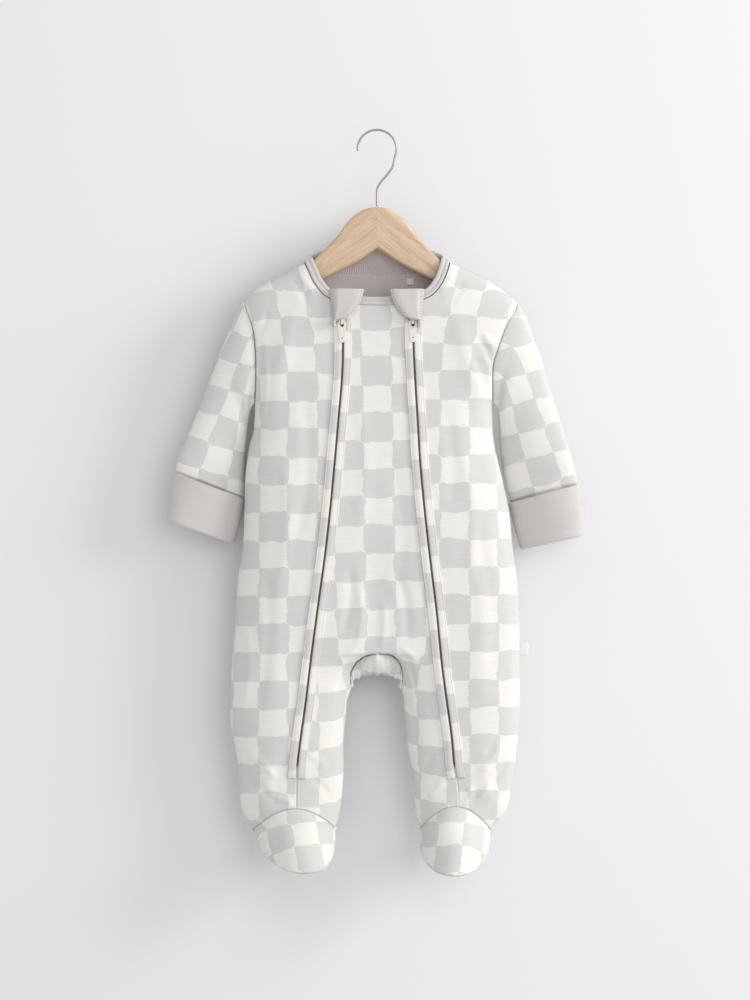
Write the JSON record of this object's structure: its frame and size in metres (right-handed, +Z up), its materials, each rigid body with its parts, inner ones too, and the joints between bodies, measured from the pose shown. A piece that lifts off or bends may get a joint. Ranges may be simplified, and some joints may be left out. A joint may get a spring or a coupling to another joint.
{
  "type": "footed baby sleepsuit on a hanger",
  "caption": "Flat-hanging footed baby sleepsuit with two front zips, zip guards and fold-over cuffs, on a wooden hanger with a wire hook.",
  "frame": {"origin": "inner top of the hanger's hook, where a rail or peg carries it", "axes": "+Z up, the front faces -Y, +X to the viewer's right seen from the front"},
  "size_m": [0.379, 0.0779, 0.6772],
  "materials": {
    "printed_jersey": "soft brushed cotton jersey with a printed grey and cream check",
    "plain_jersey": "plain grey cotton jersey",
    "zip_tape": "woven tape with a moulded coil",
    "cream_metal": "cream paint, satin",
    "woven_tab": "small woven tab, blank",
    "hanger_wood": "pale beech, satin varnish",
    "hook_wire": "bright drawn wire"
  },
  "bodies": {
    "suit": {"front_centre": "printed_jersey", "front_left": "printed_jersey", "front_right": "printed_jersey", "back": "printed_jersey", "back_lower": "printed_jersey", "back_leg_left": "printed_jersey", "back_leg_right": "printed_jersey", "sleeve_left": "printed_jersey", "sleeve_right": "printed_jersey", "cuff_left": "plain_jersey", "cuff_right": "plain_jersey", "foot_upper_left": "printed_jersey", "foot_upper_right": "printed_jersey", "foot_sole_left": "printed_jersey", "foot_sole_right": "printed_jersey", "crotch_gusset": "printed_jersey", "neck_binding": "plain_jersey", "centre_binding": "plain_jersey", "back_facing": "plain_jersey", "neck_tab": "woven_tab", "zip_guard_left": "plain_jersey", "zip_guard_right": "plain_jersey", "zip_welt_left": "printed_jersey", "zip_welt_right": "printed_jersey", "zip_tape_left": "zip_tape", "zip_tape_right": "zip_tape", "zip_slider_left": "cream_metal", "zip_slider_right": "cream_metal", "side_label": "woven_tab", "hanger_wood": "hanger_wood", "hanger_hook": "hook_wire"},
    "pull_left": {"pull_tab_left": "cream_metal"},
    "pull_right": {"pull_tab_right": "cream_metal"}
  },
  "joints": [
    {"name": "pull_left_hinge", "type": "hinge", "parent": "suit", "child": "pull_left", "pos_m": [-0.03162, -0.02344, -0.17455], "axis": [-1, 0, 0], "range_deg": [0, 90]},
    {"name": "pull_right_hinge", "type": "hinge", "parent": "suit", "child": "pull_right", "pos_m": [0.03252, -0.02341, -0.17415], "axis": [-1, 0, 0], "range_deg": [0, 90]}
  ]
}
